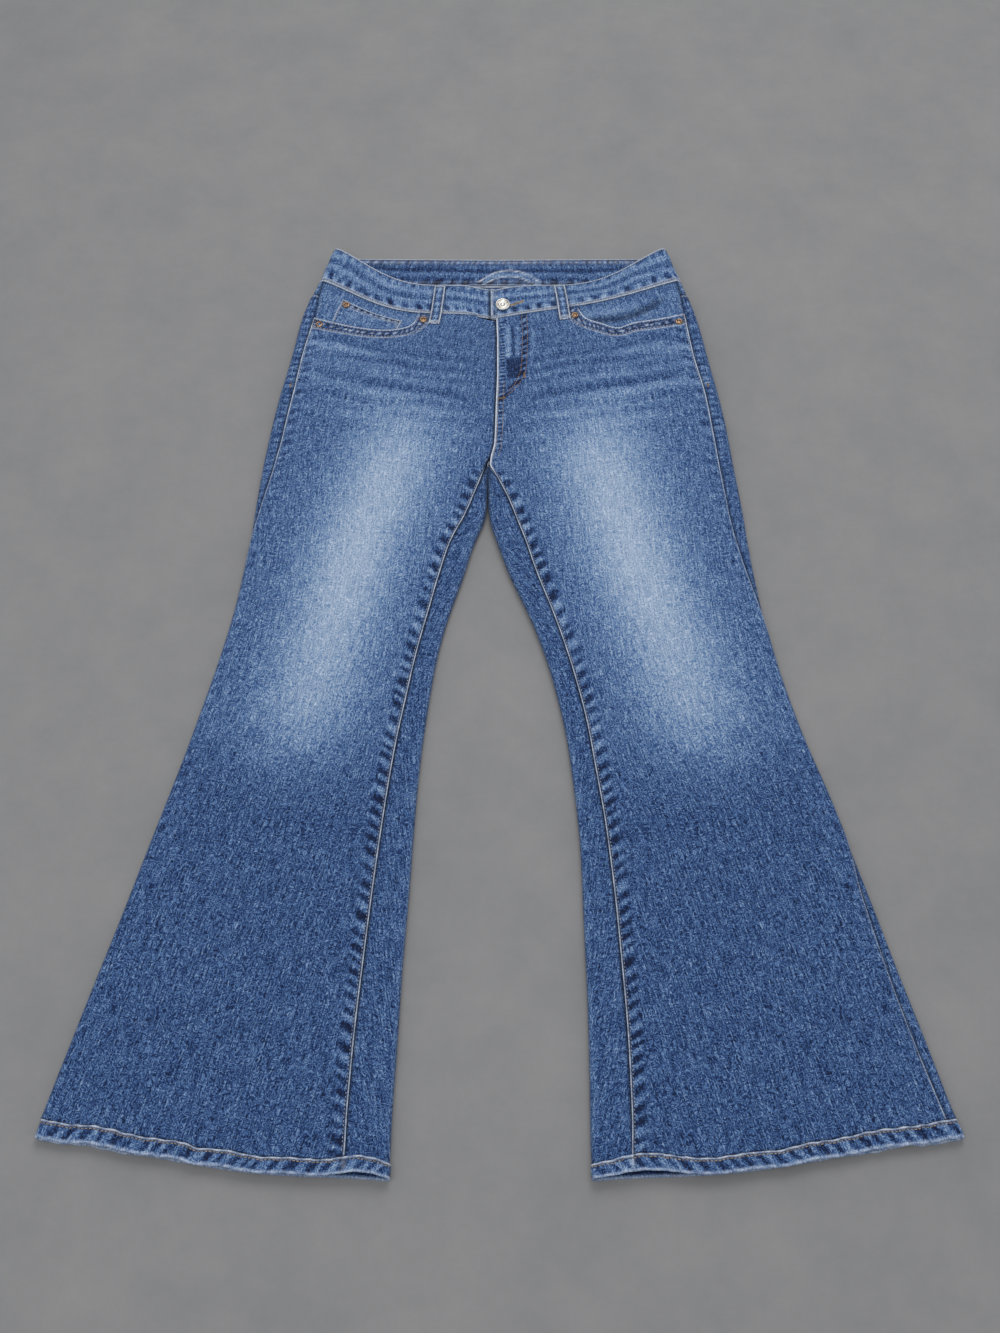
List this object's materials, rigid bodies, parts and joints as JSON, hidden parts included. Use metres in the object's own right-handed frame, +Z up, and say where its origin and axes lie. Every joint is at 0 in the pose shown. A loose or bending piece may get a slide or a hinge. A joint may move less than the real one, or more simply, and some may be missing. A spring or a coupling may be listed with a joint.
{
  "type": "flared jeans",
  "caption": "Flared denim jeans laid flat on their back, with a waistband, fly, button, belt loops, curved front pockets, a coin pocket and hemmed legs.",
  "frame": {"origin": "centre of the bounding box on the surface that the jeans lie on", "axes": "+X towards the wearer's left, +Y from the hems to the waist, +Z up, out of the front"},
  "size_m": [0.8315, 1.078, 0.025],
  "materials": {
    "denim": "washed mid-blue stretch denim, faded on the thighs",
    "zip_tape": "dark woven tape",
    "button_metal": "pale silver, slightly worn",
    "rivet_metal": "worn copper"
  },
  "bodies": {
    "root": {"front_right": "denim", "front_left": "denim", "back_right": "denim", "back_left": "denim", "yoke_right": "denim", "yoke_left": "denim", "waistband": "denim", "hem_right": "denim", "hem_left": "denim", "pocket_facing_right": "denim", "pocket_facing_left": "denim", "coin_pocket": "denim", "back_pocket_right": "denim", "back_pocket_left": "denim", "belt_loop_front_right": "denim", "belt_loop_front_left": "denim", "belt_loop_back_right": "denim", "belt_loop_back_left": "denim", "belt_loop_back_center": "denim", "fly_zip": "zip_tape", "button": "button_metal", "rivet_side_right": "rivet_metal", "rivet_side_left": "rivet_metal", "rivet_top_right": "rivet_metal", "rivet_top_left": "rivet_metal", "rivet_coin_pocket": "rivet_metal"}
  },
  "joints": []
}
